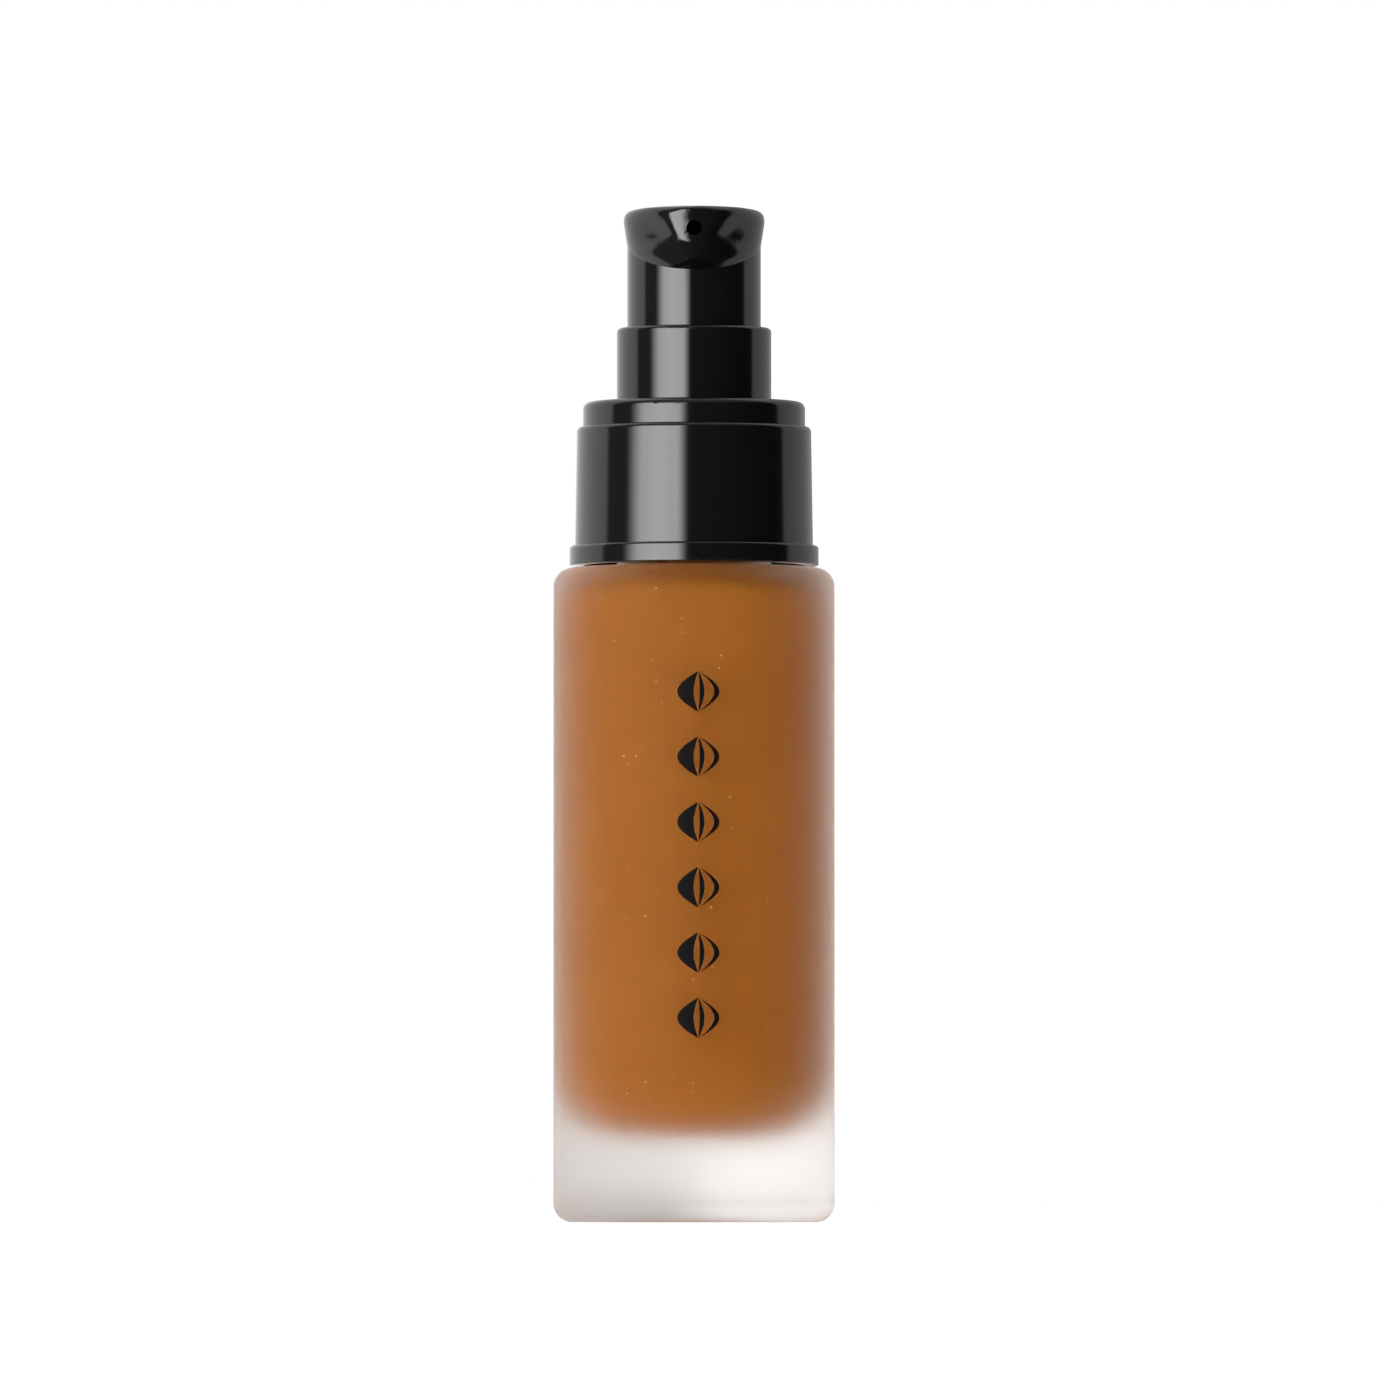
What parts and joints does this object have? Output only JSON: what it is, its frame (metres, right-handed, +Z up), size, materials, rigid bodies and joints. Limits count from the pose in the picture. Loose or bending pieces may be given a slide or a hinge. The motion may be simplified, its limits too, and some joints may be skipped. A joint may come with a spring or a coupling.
{
  "type": "foundation bottle",
  "caption": "Round frosted glass bottle of liquid foundation with a screw-on gloss black treatment pump, its flared head and all inner pump parts.",
  "frame": {"origin": "centre of the base of the glass, on the surface that the bottle stands on", "axes": "+Z up along the bottle's axis; the nozzle points along -Y; +X is to the right seen from the front"},
  "size_m": [0.033, 0.033, 0.1189],
  "materials": {
    "frosted_glass": "acid-frosted soda-lime glass",
    "foundation": "opaque liquid foundation with fine mica",
    "gasket_foam": "soft PE foam",
    "natural_plastic": "natural PP, as moulded",
    "white_plastic": "white LDPE, as moulded",
    "clear_tube": "extruded natural LDPE",
    "spring_steel": "drawn stainless steel",
    "gloss_black": "gloss black PP, polished mould",
    "black_core": "black PP, as moulded"
  },
  "bodies": {
    "bottle": {"glass_bottle": "frosted_glass", "foundation_fill": "foundation"},
    "pump": {"pump_body": "natural_plastic", "neck_gasket": "gasket_foam", "stem_guide": "natural_plastic", "dip_tube": "clear_tube", "return_spring": "spring_steel"},
    "closure": {"screw_closure": "gloss_black", "collar_shell": "gloss_black", "guide_tower": "gloss_black"},
    "stem": {"stem_upper": "natural_plastic", "stem_lower": "natural_plastic"},
    "head": {"actuator_head": "gloss_black", "actuator_core": "black_core"},
    "piston": {"piston": "white_plastic"},
    "inlet_valve": {"inlet_ball": "spring_steel"}
  },
  "joints": [
    {"name": "closure_turn", "type": "hinge", "parent": "pump", "child": "closure", "pos_m": [0, 0, 0.092], "axis": [0, 0, 1], "range_deg": [0, 540]},
    {"name": "pump_lift", "type": "slide", "parent": "bottle", "child": "pump", "axis": [0, 0, 1], "range_m": [0, 0.00476]},
    {"name": "actuator_press", "type": "slide", "parent": "pump", "child": "stem", "axis": [0, 0, -1], "range_m": [0, 0.005], "stiffness_N_per_m": 1000, "springref_m": -0.006, "deforming": ["return_spring"]},
    {"name": "actuator_swivel", "type": "hinge", "parent": "stem", "child": "head", "pos_m": [0, 0, 0.104], "axis": [0, 0, 1], "continuous": true},
    {"name": "piston_slide", "type": "slide", "parent": "pump", "child": "piston", "axis": [0, 0, -1], "range_m": [0, 0.0042]},
    {"name": "ball_lift", "type": "slide", "parent": "pump", "child": "inlet_valve", "axis": [0, 0, 1], "range_m": [0, 0.0015]}
  ],
  "couplings": [
    {"joint": "closure_turn", "follows": "pump_lift", "rad_per_m": 1979},
    {"joint": "piston_slide", "follows": "actuator_press", "ratio": 0.84}
  ]
}
